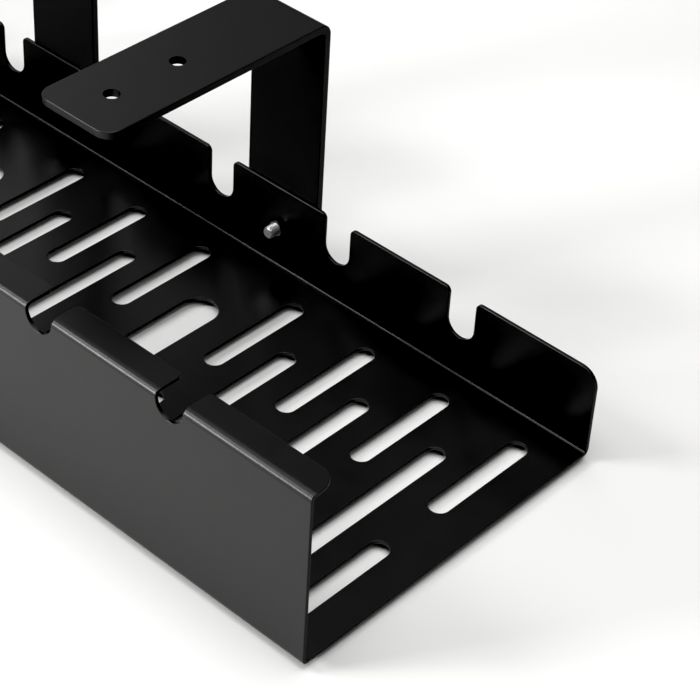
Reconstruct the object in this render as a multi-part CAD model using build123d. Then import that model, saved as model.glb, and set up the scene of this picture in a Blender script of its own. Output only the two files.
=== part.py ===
"""Under-desk cable tray: a bent sheet-steel channel hung from two L-shaped brackets.

Frame: millimetres. X runs along the tray, +X to its right end. Y runs from the tall front
wall (-Y) to the low rear wall (+Y). Z is up. The origin is the middle of the tray's underside.
"""
import os

from build123d import *

# ---- Driving dimensions -----------------------------------------------------------------------
# Tray: one sheet, bent three times
TRAY_LENGTH = 352.0
TRAY_DEPTH = 120.0
FRONT_HEIGHT = 60.0
REAR_HEIGHT = 30.5
LIP_WIDTH = 10.2
SHEET = 1.2
BEND_INNER = 1.0
SHEET_EDGE_ROUND = 0.25
LIP_END_RADIUS = 6.0
LIP_NOTCH_RADIUS = 2.0
REAR_END_RADIUS = 6.0
REAR_MOUTH_RADIUS = 2.0

# Cable notches, in the same columns on both walls
NOTCH_COUNT = 6
FRONT_NOTCH_WIDTH = 10.1
REAR_NOTCH_WIDTH = 10.4
FRONT_NOTCH_BOTTOM = 53.1
REAR_NOTCH_BOTTOM = 14.6

# Floor slots: two outer rows of short slots, and long slots between their columns
SLOT_PITCH = 30.0
SLOT_WIDTH = 6.5
SHORT_SLOT = 40.4
LONG_SLOT = 62.0
END_SLOT_INSET = 15.0
SLOTS_OUTSIDE_BRACKET = 4
ROWS_MIDDLE_Y = -1.5
ROW_OFFSET = 29.7

# Openings in the floor below the brackets' flanges, for a screwdriver
ACCESS_WIDTH = 12.5
ACCESS_LENGTH = 63.6

# Brackets: flat bar, bent once
BRACKET_INSET = 125.3
BAR_WIDTH = 29.7
BAR_THICKNESS = 2.5
BAR_BEND_INNER = 1.5
BAR_CORNER_RADIUS = 5.0
BAR_EDGE_ROUND = 0.35
BRACKET_TOP = 95.0
FLANGE_TIP_Y = -25.0
STRAP_BOTTOM = 3.0
DESK_HOLE_DIAMETER = 5.0
DESK_HOLE_SPACING = 25.0
DESK_HOLE_FROM_TIP = 15.0

# Clamp screws, M4 x 10 pan head, each with a spring washer over a flat washer
SCREW_Z = 15.5
SCREW_RADIUS = 2.0
SCREW_LENGTH = 10.0
TIP_CHAMFER = 0.4
HEAD_RADIUS = 4.0
HEAD_HEIGHT = 3.1
HEAD_CROWN_RADIUS = 1.9
RECESS_SPAN = 4.4
RECESS_WIDTH = 0.9
RECESS_DEPTH = 1.8
RECESS_TAPER = 8.0
WASHER_BORE_RADIUS = 2.15
FLAT_WASHER_RADIUS = 4.5
FLAT_WASHER_THICKNESS = 0.5
SPRING_WASHER_RADIUS = 3.6
SPRING_WASHER_THICKNESS = 0.9
SPRING_WASHER_GAP = 0.7
SPRING_WASHER_SLANT = 25.0

# Tapped collars, drawn out of the rear wall towards the inside, and the straps' holes
COLLAR_RADIUS = 2.9
COLLAR_HEIGHT = 1.3
COLLAR_EDGE_ROUND = 0.4
THREAD_CLEARANCE = 0.02
STRAP_HOLE_CLEARANCE = 0.08

# ---- Places worked out from them --------------------------------------------------------------
RIGHT_END = TRAY_LENGTH / 2
REAR_FACE = TRAY_DEPTH / 2
FRONT_FACE = -REAR_FACE
REAR_INNER_FACE = REAR_FACE - SHEET
LIP_EDGE = FRONT_FACE + LIP_WIDTH
BRACKET_X = RIGHT_END - BRACKET_INSET
STRAP_BACK = REAR_FACE + BAR_THICKNESS
FLAT_WASHER_BACK = STRAP_BACK + FLAT_WASHER_THICKNESS
HEAD_SEAT = FLAT_WASHER_BACK + SPRING_WASHER_THICKNESS

NOTCH_PITCH = TRAY_LENGTH / (NOTCH_COUNT + 1)
NOTCH_COLUMNS = [NOTCH_PITCH * (i - (NOTCH_COUNT - 1) / 2) for i in range(NOTCH_COUNT)]

# Slot columns of the right half, from the end inwards; the left half mirrors them
OUTSIDE_COLUMNS = [RIGHT_END - END_SLOT_INSET - SLOT_PITCH * i for i in range(SLOTS_OUTSIDE_BRACKET)]
SHORT_RIGHT = OUTSIDE_COLUMNS + [SLOT_PITCH]
LONG_RIGHT = [x - SLOT_PITCH / 2 for x in OUTSIDE_COLUMNS[:-1] + [SLOT_PITCH]]
SHORT_COLUMNS = SHORT_RIGHT + [0.0] + [-x for x in SHORT_RIGHT]
LONG_COLUMNS = LONG_RIGHT + [-x for x in LONG_RIGHT]
SHORT_ROWS = [ROWS_MIDDLE_Y - ROW_OFFSET, ROWS_MIDDLE_Y + ROW_OFFSET]

TINY = 1e-3
BASE = (Align.CENTER, Align.MIN)


def same(a, b):
    return abs(a - b) < TINY


# ---- Shared shapes ----------------------------------------------------------------------------
def bent_strip(outside, inside, inner_radius, thickness, width):
    """A strip bent in the YZ plane and as wide as asked along X.

    outside and inside list the (y, z) corners of its two skins, from one free end to the other.
    """
    corners = [(0, y, z) for y, z in outside + inside[::-1]]
    section = make_face(Polyline(*corners, close=True))
    for skin, radius in ((outside, inner_radius + thickness), (inside, inner_radius)):
        for y, z in skin[1:-1]:
            bend = [v for v in section.vertices() if same(v.Y, y) and same(v.Z, z)]
            section = fillet(bend, radius)
    return extrude(section, width / 2, dir=(1, 0, 0), both=True)


def u_shape(width, bottom, top):
    """Outline of a U notch, from its round bottom up to its open top."""
    radius = width / 2
    centre = bottom + radius
    return Pos(0, centre) * (Rectangle(width, top - centre, align=BASE) + Circle(radius))


def through_wall(outline, y_from, y_to):
    """Extrude an outline drawn in X and Z through a wall, from y_from towards the front."""
    upright = Plane(origin=(0, y_from, 0), x_dir=(1, 0, 0), z_dir=(0, -1, 0))
    return extrude(upright * outline, y_from - y_to)


def rod(x, y, radius, length):
    """A round rod on a clamp screw's line, starting at y and running towards the rear."""
    centred = (Align.CENTER, Align.CENTER, Align.MIN)
    return Pos(x, y, SCREW_Z) * Rot(-90, 0, 0) * Cylinder(radius, length, align=centred)


# ---- Tray body --------------------------------------------------------------------------------
def tray_blank():
    """The bent sheet before it is notched: lip, front wall, floor and rear wall."""
    outside = [
        (LIP_EDGE, FRONT_HEIGHT),
        (FRONT_FACE, FRONT_HEIGHT),
        (FRONT_FACE, 0),
        (REAR_FACE, 0),
        (REAR_FACE, REAR_HEIGHT),
    ]
    inside = [
        (LIP_EDGE, FRONT_HEIGHT - SHEET),
        (FRONT_FACE + SHEET, FRONT_HEIGHT - SHEET),
        (FRONT_FACE + SHEET, SHEET),
        (REAR_INNER_FACE, SHEET),
        (REAR_INNER_FACE, REAR_HEIGHT),
    ]
    return bent_strip(outside, inside, BEND_INNER, SHEET, TRAY_LENGTH)


def rear_wall_trim():
    """What is cut from the rear wall: the notches, their rounded mouths and the end corners."""
    low = REAR_HEIGHT / 4
    wall = Pos(0, low) * Rectangle(TRAY_LENGTH, REAR_HEIGHT - low, align=BASE)
    for x in NOTCH_COLUMNS:
        wall -= Pos(x, 0) * u_shape(REAR_NOTCH_WIDTH, REAR_NOTCH_BOTTOM, REAR_HEIGHT + 1)
    mouths = [v for v in wall.vertices() if same(v.Y, REAR_HEIGHT) and abs(v.X) < RIGHT_END - 1]
    wall = fillet(mouths, REAR_MOUTH_RADIUS)
    ends = [v for v in wall.vertices() if same(v.Y, REAR_HEIGHT) and abs(v.X) > RIGHT_END - 1]
    wall = fillet(ends, REAR_END_RADIUS)
    sheet = Pos(0, low) * Rectangle(TRAY_LENGTH + 2, REAR_HEIGHT, align=BASE)
    return through_wall(sheet - wall, REAR_FACE + 1, REAR_INNER_FACE - 1)


def front_wall_trim():
    """The front wall's notches, each cut straight on through the lip."""
    notch = u_shape(FRONT_NOTCH_WIDTH, FRONT_NOTCH_BOTTOM, FRONT_HEIGHT + 1)
    notches = [Pos(x, 0) * notch for x in NOTCH_COLUMNS]
    return [through_wall(notch, LIP_EDGE + 1, FRONT_FACE - 1) for notch in notches]


def lip_trim():
    """What is cut from the lip, seen from above, to round the free corners of its tongues."""
    start = FRONT_FACE + BEND_INNER + SHEET
    width = LIP_EDGE - start
    sides = [-RIGHT_END]
    for x in NOTCH_COLUMNS:
        sides += [x - FRONT_NOTCH_WIDTH / 2, x + FRONT_NOTCH_WIDTH / 2]
    sides.append(RIGHT_END)
    trim = Pos(0, start) * Rectangle(TRAY_LENGTH + 2, width + 1, align=BASE)
    for left, right in zip(sides[0::2], sides[1::2]):
        tongue = Pos((left + right) / 2, start) * Rectangle(right - left, width, align=BASE)
        for side in (left, right):
            radius = LIP_END_RADIUS if same(abs(side), RIGHT_END) else LIP_NOTCH_RADIUS
            corner = [v for v in tongue.vertices() if same(v.X, side) and same(v.Y, LIP_EDGE)]
            tongue = fillet(corner, radius)
        trim -= tongue
    return extrude(Pos(0, 0, FRONT_HEIGHT - 2 * SHEET) * trim, 3 * SHEET)


def floor_trim():
    """The floor's slots and its two screwdriver openings."""
    def slots(length, width, columns, rows):
        cutter = extrude(SlotOverall(length, width, rotation=90), 2 * SHEET, both=True)
        return [Pos(x, y, 0) * cutter for x in columns for y in rows]

    cutters = slots(SHORT_SLOT, SLOT_WIDTH, SHORT_COLUMNS, SHORT_ROWS)
    cutters += slots(LONG_SLOT, SLOT_WIDTH, LONG_COLUMNS, [ROWS_MIDDLE_Y])
    cutters += slots(ACCESS_LENGTH, ACCESS_WIDTH, [-BRACKET_X, BRACKET_X], [ROWS_MIDDLE_Y])
    return cutters


def is_cut_edge(edge):
    """True on the sheet's cut outline, false where a bend starts or an edge crosses the sheet."""
    centre = edge.center()
    size = edge.bounding_box().size
    if size.Y < TINY and size.Z < TINY:
        return same(centre.Y, LIP_EDGE) or same(centre.Z, REAR_HEIGHT)
    return not same(edge.length, SHEET)


def tray_body():
    body = tray_blank()
    body -= rear_wall_trim()
    body -= front_wall_trim()
    body -= lip_trim()
    body -= floor_trim()
    body = fillet([edge for edge in body.edges() if is_cut_edge(edge)], SHEET_EDGE_ROUND)
    for x in (-BRACKET_X, BRACKET_X):
        collar = rod(x, REAR_INNER_FACE - COLLAR_HEIGHT, COLLAR_RADIUS, COLLAR_HEIGHT + SHEET / 2)
        rim = collar.edges().sort_by(Axis.Y)[0]
        body += fillet(rim, COLLAR_EDGE_ROUND)
        body -= rod(x, REAR_INNER_FACE - 2 * COLLAR_HEIGHT, SCREW_RADIUS + THREAD_CLEARANCE, 5 * SHEET)
    return body


# ---- Brackets ---------------------------------------------------------------------------------
def bracket(x):
    """A flat bar: its strap lies on the rear wall's back, and its flange reaches over the tray."""
    outside = [(FLANGE_TIP_Y, BRACKET_TOP), (STRAP_BACK, BRACKET_TOP), (STRAP_BACK, STRAP_BOTTOM)]
    underside = BRACKET_TOP - BAR_THICKNESS
    inside = [(FLANGE_TIP_Y, underside), (REAR_FACE, underside), (REAR_FACE, STRAP_BOTTOM)]
    bar = bent_strip(outside, inside, BAR_BEND_INNER, BAR_THICKNESS, BAR_WIDTH)

    corners = [e for e in bar.edges() if same(e.length, BAR_THICKNESS)]
    bar = fillet(corners, BAR_CORNER_RADIUS)
    bends = [e for e in bar.edges() if same(e.length, BAR_WIDTH)]
    crossing = [e for e in bar.edges() if same(e.length, BAR_THICKNESS)]
    bar = fillet([e for e in bar.edges() if e not in bends + crossing], BAR_EDGE_ROUND)

    for i in range(2):
        y = FLANGE_TIP_Y + DESK_HOLE_FROM_TIP + DESK_HOLE_SPACING * i
        bar -= Pos(0, y, BRACKET_TOP) * Cylinder(DESK_HOLE_DIAMETER / 2, 3 * BAR_THICKNESS)
    bar -= rod(0, REAR_FACE - 1, SCREW_RADIUS + STRAP_HOLE_CLEARANCE, BAR_THICKNESS + 2)
    return Pos(x, 0, 0) * bar


# ---- Clamp screws and washers -----------------------------------------------------------------
def clamp_screw(x):
    """Pan-head screw from behind: through the washers and the strap, into the tray's collar."""
    shank = rod(0, HEAD_SEAT - SCREW_LENGTH, SCREW_RADIUS, SCREW_LENGTH)
    shank = chamfer(shank.edges().sort_by(Axis.Y)[0], TIP_CHAMFER)
    head = rod(0, HEAD_SEAT, HEAD_RADIUS, HEAD_HEIGHT)
    head = fillet(head.edges().sort_by(Axis.Y)[-1], HEAD_CROWN_RADIUS)
    arms = Rectangle(RECESS_SPAN, RECESS_WIDTH) + Rectangle(RECESS_WIDTH, RECESS_SPAN)
    crown = Plane(origin=(0, HEAD_SEAT + HEAD_HEIGHT, SCREW_Z), x_dir=(1, 0, 0), z_dir=(0, -1, 0))
    recess = extrude(crown * arms, RECESS_DEPTH, taper=RECESS_TAPER)
    return Pos(x, 0, 0) * (shank + head - recess)


def washer(x, y, radius, thickness):
    return rod(x, y, radius, thickness) - rod(x, y - 1, WASHER_BORE_RADIUS, thickness + 2)


def flat_washer(x):
    return washer(x, STRAP_BACK, FLAT_WASHER_RADIUS, FLAT_WASHER_THICKNESS)


def spring_washer(x):
    """A split ring, pressed flat, with a slanting gap at its top."""
    ring = washer(x, FLAT_WASHER_BACK, SPRING_WASHER_RADIUS, SPRING_WASHER_THICKNESS)
    middle = (WASHER_BORE_RADIUS + SPRING_WASHER_RADIUS) / 2
    place = Pos(x, FLAT_WASHER_BACK + SPRING_WASHER_THICKNESS / 2, SCREW_Z + middle)
    gap = Box(SPRING_WASHER_GAP, 4 * SPRING_WASHER_THICKNESS, SPRING_WASHER_RADIUS)
    return ring - place * Rot(0, 0, SPRING_WASHER_SLANT) * gap


# ---- Files ------------------------------------------------------------------------------------
def all_parts():
    parts = {"tray_body": tray_body()}
    for side, x in (("left", -BRACKET_X), ("right", BRACKET_X)):
        parts[f"bracket_{side}"] = bracket(x)
        parts[f"clamp_screw_{side}"] = clamp_screw(x)
        parts[f"spring_washer_{side}"] = spring_washer(x)
        parts[f"flat_washer_{side}"] = flat_washer(x)
    return parts


os.makedirs("parts", exist_ok=True)
for name, part in all_parts().items():
    export_step(part, f"parts/{name}.step")
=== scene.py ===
"""Looks for the under-desk cable tray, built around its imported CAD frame.

Everything is in metres, in the frame of the CAD model: X along the tray, -Y its tall front wall,
Z up. The tray and the brackets keep their CAD meshes and get a powder-coat material. The screws
and washers are replaced by detailed ones that fill the same boxes.
"""

import math

import bmesh
import bpy
from mathutils import Matrix, Vector


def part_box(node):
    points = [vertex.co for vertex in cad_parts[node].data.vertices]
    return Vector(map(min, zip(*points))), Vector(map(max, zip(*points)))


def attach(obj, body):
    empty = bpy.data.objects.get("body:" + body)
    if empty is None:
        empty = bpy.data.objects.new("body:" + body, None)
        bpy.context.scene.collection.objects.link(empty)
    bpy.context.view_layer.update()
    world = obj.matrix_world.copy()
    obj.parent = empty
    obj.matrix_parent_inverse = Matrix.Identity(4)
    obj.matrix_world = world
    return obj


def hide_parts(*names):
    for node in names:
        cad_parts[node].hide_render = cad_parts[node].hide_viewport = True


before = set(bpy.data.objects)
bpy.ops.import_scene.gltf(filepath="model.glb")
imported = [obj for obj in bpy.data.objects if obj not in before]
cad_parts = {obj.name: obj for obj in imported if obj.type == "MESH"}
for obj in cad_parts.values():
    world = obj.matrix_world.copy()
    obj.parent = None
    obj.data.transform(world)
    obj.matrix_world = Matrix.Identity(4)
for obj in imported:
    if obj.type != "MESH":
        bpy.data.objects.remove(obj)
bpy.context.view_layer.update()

MM = 0.001
SIDES = ("left", "right")

# ---- Camera -----------------------------------------------------------------------------------
CAMERA_LENS = 117.5
CAMERA_SENSOR = 36.0
CAMERA_AZIMUTH = 40.59
CAMERA_ELEVATION = 39.01
CAMERA_ROLL = 3.64
CAMERA_DISTANCE = 0.6485
CAMERA_TARGET = (0.1196, 0.0167, 0.030)

# ---- Stage: the floor, and soft lights by direction, distance, size and power -----------------
FLOOR_DROP = 0.002
FLOOR_SIZE = 12.0
LIGHT_TARGET = (0.05, 0.0, 0.03)
WORLD_STRENGTH = 0.02
BLACK_LEVEL = 0.009
LIGHTS = {
    # name: (azimuth, elevation, distance, width, height, power), azimuth from +X towards +Y
    "overhead": (0, 90, 2.6, 2.4, 2.4, 64.0),
    "left_high": (225, 42, 2.0, 0.6, 0.6, 14.0),
    "left_low": (239, 17, 1.2, 0.30, 0.20, 10.5),
    "left": (180, 50, 2.0, 1.2, 1.2, 2.0),
    "rear_left": (150, 32, 2.0, 0.75, 0.75, 1.9),
    "rear": (120, 30, 2.0, 0.75, 0.75, 0.6),
    "right": (0, 50, 2.0, 1.2, 1.2, 4.0),
}

# ---- Thread and head of an M4 pan-head screw --------------------------------------------------
THREAD_PITCH = 0.7 * MM
THREAD_DEPTH = 0.43 * MM
THREAD_SEGMENTS = 48
TIP_CHAMFER = 0.4 * MM
SCREW_RADIUS = 2.0 * MM
HEAD_HEIGHT = 3.1 * MM
HEAD_CROWN_RADIUS = 1.9 * MM
RECESS_SPAN = 4.4 * MM
RECESS_WIDTH = 0.9 * MM
RECESS_DEPTH = 1.8 * MM
RECESS_TAPER = 8.0
RING_SEGMENTS = 96

# ---- Washers, and the bare rim of each tapped collar ------------------------------------------
BARE_RIM_RADIUS = 2.5 * MM
BARE_RIM_FADE = 0.15 * MM
BARE_RIM_SQUASH = (1, 0.1, 1)
WASHER_BORE = 2.15 * MM
SPRING_GAP = 0.7 * MM
SPRING_GAP_SLANT = 25.0


# ---- Small helpers ----------------------------------------------------------------------------
def link(obj):
    bpy.context.scene.collection.objects.link(obj)
    return obj


def mesh_object(name, bm, smooth_angle=35.0):
    """A new object from a bmesh, smooth but for edges sharper than the angle."""
    bmesh.ops.recalc_face_normals(bm, faces=bm.faces)
    mesh = bpy.data.meshes.new(name)
    bm.to_mesh(mesh)
    bm.free()
    mesh.polygons.foreach_set("use_smooth", [True] * len(mesh.polygons))
    mesh.set_sharp_from_angle(angle=math.radians(smooth_angle))
    return link(bpy.data.objects.new(name, mesh))


def towards(azimuth, elevation):
    """Unit vector at an azimuth from +X towards +Y and an elevation above the floor."""
    a = math.radians(azimuth)
    e = math.radians(elevation)
    return Vector((math.cos(a) * math.cos(e), math.sin(a) * math.cos(e), math.sin(e)))


# ---- Camera, floor and lights -----------------------------------------------------------------
def make_camera():
    """The photo's camera: its place, direction, roll and lens."""
    azimuth = math.radians(CAMERA_AZIMUTH)
    elevation = math.radians(CAMERA_ELEVATION)
    roll = math.radians(CAMERA_ROLL)
    forward = Vector((
        -math.sin(azimuth) * math.cos(elevation),
        math.cos(azimuth) * math.cos(elevation),
        -math.sin(elevation),
    ))
    right = Vector((math.cos(azimuth), math.sin(azimuth), 0))
    up = right.cross(forward)
    x_axis = math.cos(roll) * right + math.sin(roll) * up
    y_axis = math.cos(roll) * up - math.sin(roll) * right

    data = bpy.data.cameras.new("camera")
    data.lens = CAMERA_LENS
    data.sensor_width = CAMERA_SENSOR
    data.clip_start = 0.01
    data.clip_end = 100
    camera = link(bpy.data.objects.new("camera", data))
    turn = Matrix((x_axis, y_axis, -forward)).transposed().to_4x4()
    place = Vector(CAMERA_TARGET) - CAMERA_DISTANCE * forward
    camera.matrix_world = Matrix.Translation(place) @ turn
    bpy.context.scene.camera = camera


def make_light(name, azimuth, elevation, distance, width, height, power):
    data = bpy.data.lights.new(name, "AREA")
    data.shape = "RECTANGLE"
    data.size = width
    data.size_y = height
    data.energy = power
    light = link(bpy.data.objects.new(name, data))
    direction = towards(azimuth, elevation)
    light.location = Vector(LIGHT_TARGET) + distance * direction
    light.rotation_euler = direction.to_track_quat("Z", "Y").to_euler()


def make_stage():
    """A pale floor, a dim world and the studio lights, shown with a little contrast."""
    bm = bmesh.new()
    bmesh.ops.create_grid(bm, x_segments=2, y_segments=2, size=FLOOR_SIZE / 2)
    floor = mesh_object("floor", bm)
    floor.location.z = -FLOOR_DROP
    floor.data.materials.append(floor_material())

    world = bpy.data.worlds.new("studio")
    world.use_nodes = True
    background = world.node_tree.nodes["Background"]
    background.inputs["Color"].default_value = (1.0, 1.0, 0.99, 1)
    background.inputs["Strength"].default_value = WORLD_STRENGTH
    bpy.context.scene.world = world
    view = bpy.context.scene.view_settings
    view.view_transform = "Standard"
    view.use_curve_mapping = True
    view.curve_mapping.black_level = (BLACK_LEVEL, BLACK_LEVEL, BLACK_LEVEL)
    view.curve_mapping.update()
    for name, placing in LIGHTS.items():
        make_light(name, *placing)


# ---- Materials --------------------------------------------------------------------------------
class Nodes:
    """Short calls for adding and joining the nodes of one material."""

    def __init__(self, name):
        self.material = bpy.data.materials.new(name)
        self.material.use_nodes = True
        self.tree = self.material.node_tree
        self.shader = self.tree.nodes["Principled BSDF"]

    def add(self, kind, inputs=None, **settings):
        node = self.tree.nodes.new(kind)
        for key, value in settings.items():
            setattr(node, key, value)
        for key, value in (inputs or {}).items():
            self.put(value, node.inputs[key])
        return node

    def put(self, value, socket):
        """Set a socket to a value, or join it to another node's output."""
        if isinstance(value, bpy.types.NodeSocket):
            self.tree.links.new(value, socket)
        else:
            socket.default_value = value

    def place(self):
        return self.add("ShaderNodeTexCoord").outputs["Object"]

    def noise(self, scale, detail=2.0, rough=0.5, vector=None):
        inputs = {"Vector": vector or self.place()}
        inputs.update({"Scale": scale, "Detail": detail, "Roughness": rough})
        return self.add("ShaderNodeTexNoise", inputs).outputs["Fac"]

    def remap(self, value, low, high, to_low=0.0, to_high=1.0):
        inputs = {"Value": value, "From Min": low, "From Max": high}
        inputs.update({"To Min": to_low, "To Max": to_high})
        return self.add("ShaderNodeMapRange", inputs).outputs["Result"]

    def math(self, operation, a, b=0.0):
        return self.add("ShaderNodeMath", {0: a, 1: b}, operation=operation).outputs[0]

    def vector(self, operation, a, b=(0, 0, 0)):
        return self.add("ShaderNodeVectorMath", {0: a, 1: b}, operation=operation)

    def mix(self, factor, a, b):
        node = self.add("ShaderNodeMix", data_type="RGBA")
        self.put(factor, node.inputs["Factor"])
        self.put(a, node.inputs[6])
        self.put(b, node.inputs[7])
        return node.outputs[2]

    def bump(self, height, distance, strength, normal=None):
        inputs = {"Height": height, "Distance": distance, "Strength": strength}
        if normal:
            inputs["Normal"] = normal
        return self.add("ShaderNodeBump", inputs).outputs["Normal"]

    def edges(self, radius):
        """1 on edges that a rounding of the radius would change, 0 on open faces."""
        bevel = self.add("ShaderNodeBevel", {"Radius": radius}, samples=6).outputs["Normal"]
        normal = self.add("ShaderNodeNewGeometry").outputs["Normal"]
        agreement = self.vector("DOT_PRODUCT", bevel, normal)
        return self.remap(agreement.outputs["Value"], 0.97, 0.80)


def sheared_edges(n):
    """1 on the sheet's cut edges that face along X, 0 on its flat faces."""
    normal = n.add("ShaderNodeTexCoord").outputs["Normal"]
    along = n.add("ShaderNodeSeparateXYZ", {0: normal}).outputs["X"]
    return n.remap(n.math("ABSOLUTE", along), 0.7, 0.95)


def floor_material():
    n = Nodes("studio_floor")
    tone = n.remap(n.noise(1.5), 0.3, 0.7)
    n.put(n.mix(tone, (0.86, 0.86, 0.85, 1), (0.88, 0.88, 0.87, 1)), n.shader.inputs["Base Color"])
    n.shader.inputs["Roughness"].default_value = 0.9
    n.shader.inputs["Specular IOR Level"].default_value = 0.1
    return n.material


def near_screws(n):
    """1 on the bare rims that the coat leaves round the two clamp screws, 0 elsewhere."""
    nearest = 1.0
    for side in SIDES:
        low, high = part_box(f"clamp_screw_{side}")
        offset = n.vector("SUBTRACT", n.place(), (low + high) / 2)
        squashed = n.vector("MULTIPLY", offset.outputs["Vector"], BARE_RIM_SQUASH)
        length = n.vector("LENGTH", squashed.outputs["Vector"])
        nearest = n.math("MINIMUM", length.outputs["Value"], nearest)
    return n.remap(nearest, BARE_RIM_RADIUS, BARE_RIM_RADIUS - BARE_RIM_FADE)


def powder_coat(name, tone, roughness, specular, bare_rims=False):
    """Satin black powder coat: orange peel, fine grain, and edges with a lighter base colour, partly
    thin coat and partly a painted highlight.
    """
    n = Nodes(name)
    shader = n.shader.inputs
    cloud = n.remap(n.noise(45.0, 3.0), 0.35, 0.65)
    grain = n.noise(5200.0, 2.0)
    base = n.mix(cloud, (tone * 0.85, tone * 0.87, tone * 0.9, 1), (tone, tone, tone * 0.98, 1))
    # Edges get a lighter base colour: partly thin, rubbed coat and partly a painted highlight along the
    # bends and cut edges.
    wear_and_highlight = n.math("MULTIPLY", n.edges(0.35 * MM), n.remap(n.noise(900.0, 4.0, 0.7), 0.45, 0.75))
    wear_and_highlight_tone = tone + 0.01
    n.put(n.mix(wear_and_highlight, base, (wear_and_highlight_tone, wear_and_highlight_tone, wear_and_highlight_tone * 0.97, 1)), shader["Base Color"])
    uneven = n.remap(n.noise(160.0, 4.0), 0.3, 0.7, roughness - 0.015, roughness + 0.015)
    sheared = sheared_edges(n)
    rougher = n.math("ADD", n.math("MULTIPLY", wear_and_highlight, 0.08), n.math("MULTIPLY", sheared, 0.2))
    n.put(n.math("ADD", uneven, rougher), shader["Roughness"])
    n.put(n.remap(sheared, 0.0, 1.0, specular, 0.35 * specular), shader["Specular IOR Level"])
    peel = n.bump(n.noise(1100.0, 2.0), 0.02 * MM, 0.35)
    n.put(n.bump(grain, 0.006 * MM, 0.4, peel), shader["Normal"])
    if bare_rims:
        steel = n.add("ShaderNodeBsdfPrincipled", {"Base Color": (0.6, 0.6, 0.58, 1), "Metallic": 1.0})
        n.put(n.remap(grain, 0.3, 0.7, 0.25, 0.4), steel.inputs["Roughness"])
        blend = n.add("ShaderNodeMixShader", {0: near_screws(n)})
        n.put(n.shader.outputs["BSDF"], blend.inputs[1])
        n.put(steel.outputs["BSDF"], blend.inputs[2])
        n.put(blend.outputs["Shader"], n.tree.nodes["Material Output"].inputs["Surface"])
    return n.material


def zinc(name, roughness):
    """Bright zinc plating: soft scratches, cloudy roughness and a faint blue cast."""
    n = Nodes(name)
    shader = n.shader.inputs
    cloud = n.remap(n.noise(700.0, 3.0), 0.35, 0.65)
    n.put(n.mix(cloud, (0.88, 0.88, 0.88, 1), (0.80, 0.82, 0.85, 1)), shader["Base Color"])
    shader["Metallic"].default_value = 1.0
    uneven = n.remap(n.noise(2600.0, 4.0), 0.3, 0.7, roughness - 0.07, roughness + 0.09)
    n.put(uneven, shader["Roughness"])
    n.put(n.bump(n.noise(9000.0, 3.0), 0.004 * MM, 0.5), shader["Normal"])
    return n.material


def paint(obj, material):
    obj.data.materials.clear()
    obj.data.materials.append(material)


# ---- Screws and washers -----------------------------------------------------------------------
def point_round(bm, angle, radius, y, axis_x, axis_z):
    """A vertex at a radius from a line along Y, its angle turning from +Z towards +X."""
    x = axis_x + radius * math.sin(angle)
    z = axis_z + radius * math.cos(angle)
    return bm.verts.new((x, y, z))


def revolved(bm, profile, axis_x, axis_z, segments):
    """Turn a closed or axis-to-axis profile of (radius, y) points about a line along Y."""
    rings = []
    for radius, y in profile:
        if radius < 1e-7:
            rings.append([bm.verts.new((axis_x, y, axis_z))])
            continue
        ring = []
        for i in range(segments):
            angle = 2 * math.pi * i / segments
            ring.append(point_round(bm, angle, radius, y, axis_x, axis_z))
        rings.append(ring)
    return rings


def join_rings(bm, first, second):
    """Faces between two rings, either of which may be a single point."""
    count = max(len(first), len(second))
    for i in range(count):
        a = first[i % len(first)]
        b = first[(i + 1) % len(first)]
        c = second[(i + 1) % len(second)]
        d = second[i % len(second)]
        corners = []
        for vertex in (a, b, c, d):
            if vertex not in corners:
                corners.append(vertex)
        bm.faces.new(corners)


def arc(centre, radius, start, end, steps):
    """Points of (radius, y) on a circle arc; angles in degrees from the radial direction to +Y."""
    points = []
    for i in range(steps + 1):
        angle = math.radians(start + (end - start) * i / steps)
        points.append((centre[0] + radius * math.cos(angle), centre[1] + radius * math.sin(angle)))
    return points


def thread_radius(phase, major):
    """Radius of a 60 degree thread at a phase of 0 to 1 along its pitch."""
    crest = 1 / 8
    root = 1 / 4
    flank = (1 - crest - root) / 2
    phase = phase % 1.0
    if phase < crest:
        drop = 0.0
    elif phase < crest + flank:
        drop = (phase - crest) / flank
    elif phase < crest + flank + root:
        drop = 1.0
    else:
        drop = (1 - phase) / flank
    return major - THREAD_DEPTH * drop


def threaded_shank(bm, tip, end, major):
    """A closed threaded rod from tip to end, chamfered at its tip, about a line along Y."""
    breaks = (0.0, 1 / 8, 7 / 16, 11 / 16)
    turns = math.ceil((end - tip) / THREAD_PITCH) + 1
    rows = [turn + part for turn in range(-1, turns + 1) for part in breaks]
    grid = []
    for column in range(THREAD_SEGMENTS):
        turned = column / THREAD_SEGMENTS
        angle = 2 * math.pi * turned
        line = []
        for row in rows:
            y = min(max(tip + (row + turned) * THREAD_PITCH, tip), end)
            radius = thread_radius((y - tip) / THREAD_PITCH - turned, major)
            radius = min(radius, major - TIP_CHAMFER + (y - tip))
            line.append(point_round(bm, angle, radius, y, 0.0, 0.0))
        grid.append(line)
    for column in range(THREAD_SEGMENTS):
        first = grid[column]
        second = grid[(column + 1) % THREAD_SEGMENTS]
        shift = len(breaks) if column == THREAD_SEGMENTS - 1 else 0
        for row in range(len(rows) - 1 - shift):
            bm.faces.new((first[row], second[row + shift], second[row + shift + 1], first[row + 1]))
    bmesh.ops.remove_doubles(bm, verts=bm.verts, dist=1e-7)
    bmesh.ops.dissolve_degenerate(bm, edges=bm.edges, dist=1e-8)
    open_edges = [edge for edge in bm.edges if edge.is_boundary]
    bmesh.ops.holes_fill(bm, edges=open_edges, sides=0)


def swept_rings(bm, rings, close):
    """Skin rings of equal length one to the next; close joins the last to the first, else caps both."""
    count = len(rings)
    for i in range(count if close else count - 1):
        join_rings(bm, rings[i], rings[(i + 1) % count])
    if not close:
        bm.faces.new(rings[0])
        bm.faces.new(list(reversed(rings[-1])))


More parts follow.
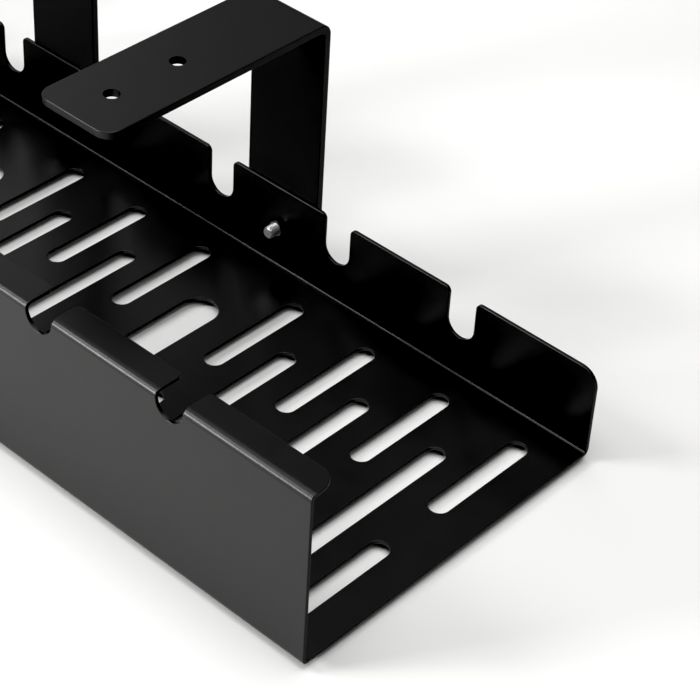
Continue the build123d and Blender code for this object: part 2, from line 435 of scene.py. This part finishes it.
def rounded_section(inner, outer, front, back, rounding):
    """Points of (radius, y) round a rectangle with rounded corners."""
    low = inner + rounding
    high = outer - rounding
    near = front + rounding
    far = back - rounding
    points = arc((high, far), rounding, 0, 90, 4)
    points += arc((low, far), rounding, 90, 180, 4)
    points += arc((low, near), rounding, 180, 270, 4)
    points += arc((high, near), rounding, 270, 360, 4)
    return points


def boolean(target, tool, operation):
    """Join a tool to a target, or cut it away, and delete the tool."""
    modifier = target.modifiers.new("cut", "BOOLEAN")
    modifier.operation = operation
    modifier.solver = "EXACT"
    modifier.object = tool
    graph = bpy.context.evaluated_depsgraph_get()
    mesh = bpy.data.meshes.new_from_object(target.evaluated_get(graph))
    target.modifiers.clear()
    target.data = mesh
    bpy.data.objects.remove(tool)


def flat_washer(name, low, high):
    """A stamped ring with rounded edges, filling its CAD box."""
    outer = (high.x - low.x) / 2
    section = rounded_section(WASHER_BORE, outer, low.y, high.y, 0.1 * MM)
    bm = bmesh.new()
    rings = revolved(bm, section, (low.x + high.x) / 2, (low.z + high.z) / 2, RING_SEGMENTS)
    swept_rings(bm, rings, close=True)
    return mesh_object(name, bm, 50.0)


def spring_washer(name, low, high):
    """A coil of rounded square wire, its two slanting ends facing each other at the top."""
    outer = (high.x - low.x) / 2
    axis_x = (low.x + high.x) / 2
    axis_z = high.z - outer
    middle_y = (low.y + high.y) / 2
    section = rounded_section(WASHER_BORE, outer, low.y, high.y, 0.12 * MM)
    slant = math.tan(math.radians(SPRING_GAP_SLANT))
    bm = bmesh.new()
    rings = []
    for i in range(RING_SEGMENTS + 1):
        along = i / RING_SEGMENTS
        ring = []
        for radius, y in section:
            lean = -(y - middle_y) * slant
            start = math.asin((SPRING_GAP / 2 + lean) / radius)
            end = 2 * math.pi - math.asin((SPRING_GAP / 2 - lean) / radius)
            angle = start + (end - start) * along
            ring.append(point_round(bm, angle, radius, y, axis_x, axis_z))
        rings.append(ring)
    swept_rings(bm, rings, close=False)
    return mesh_object(name, bm, 50.0)


def phillips_bit(crown):
    """The cutter of a cross recess: two crossed arms that taper down to a blunt tip."""
    bm = bmesh.new()
    top = crown + 0.1 * MM
    bottom = crown - RECESS_DEPTH
    half_span = RECESS_SPAN / 2
    half_width = RECESS_WIDTH / 2
    slope = math.tan(math.radians(RECESS_TAPER)) * (top - bottom)
    rings = []
    for y, inset in ((top, 0.0), (bottom, slope)):
        a = half_span - 1.6 * inset
        b = half_width - 0.4 * inset
        outline = ((b, b), (a, b), (a, -b), (b, -b), (b, -a), (-b, -a))
        outline += ((-b, -b), (-a, -b), (-a, b), (-b, b), (-b, a), (b, a))
        rings.append([bm.verts.new((u, y, v)) for u, v in outline])
    swept_rings(bm, rings, close=False)
    return mesh_object("bit", bm)


def pan_head_screw(name, low, high):
    """An M4 pan-head screw: rolled thread, rounded head and cross recess."""
    seat = high.y - HEAD_HEIGHT
    head_radius = (high.x - low.x) / 2
    bm = bmesh.new()
    profile = [(0.0, seat), (head_radius - 0.15 * MM, seat)]
    profile += arc((head_radius - 0.15 * MM, seat + 0.15 * MM), 0.15 * MM, -80, 0, 4)
    crown_centre = (head_radius - HEAD_CROWN_RADIUS, high.y - HEAD_CROWN_RADIUS)
    profile += arc(crown_centre, HEAD_CROWN_RADIUS, 0, 90, 12)
    profile.append((0.0, high.y))
    rings = revolved(bm, profile, 0.0, 0.0, RING_SEGMENTS)
    for first, second in zip(rings, rings[1:]):
        join_rings(bm, first, second)
    screw = mesh_object(name, bm, 50.0)

    bm = bmesh.new()
    threaded_shank(bm, low.y, seat + 0.4 * MM, SCREW_RADIUS)
    boolean(screw, mesh_object("shank", bm), "UNION")
    boolean(screw, phillips_bit(high.y), "DIFFERENCE")
    screw.data.set_sharp_from_angle(angle=math.radians(40))
    screw.location = ((low.x + high.x) / 2, 0, (low.z + high.z) / 2)
    return screw


def dress(obj, node, material):
    """Put a detailed piece in the place of its CAD node."""
    paint(obj, material)
    obj.data.polygons.foreach_set("material_index", [0] * len(obj.data.polygons))
    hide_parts(node)
    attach(obj, "tray")


make_camera()
make_stage()
tray_coat = powder_coat("tray_coat", 0.0009, 0.34, 0.37, bare_rims=True)
bracket_coat = powder_coat("bracket_coat", 0.0012, 0.38, 0.40)
zinc_screw = zinc("zinc_screw", 0.36)
zinc_washer = zinc("zinc_washer", 0.28)
paint(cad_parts["tray_body"], tray_coat)
for side in SIDES:
    paint(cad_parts[f"bracket_{side}"], bracket_coat)
    screw_node = f"clamp_screw_{side}"
    flat_node = f"flat_washer_{side}"
    spring_node = f"spring_washer_{side}"
    screw = pan_head_screw(f"{screw_node}_detailed", *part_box(screw_node))
    dress(screw, screw_node, zinc_screw)
    flat = flat_washer(f"{flat_node}_detailed", *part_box(flat_node))
    dress(flat, flat_node, zinc_washer)
    spring = spring_washer(f"{spring_node}_detailed", *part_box(spring_node))
    dress(spring, spring_node, zinc_washer)
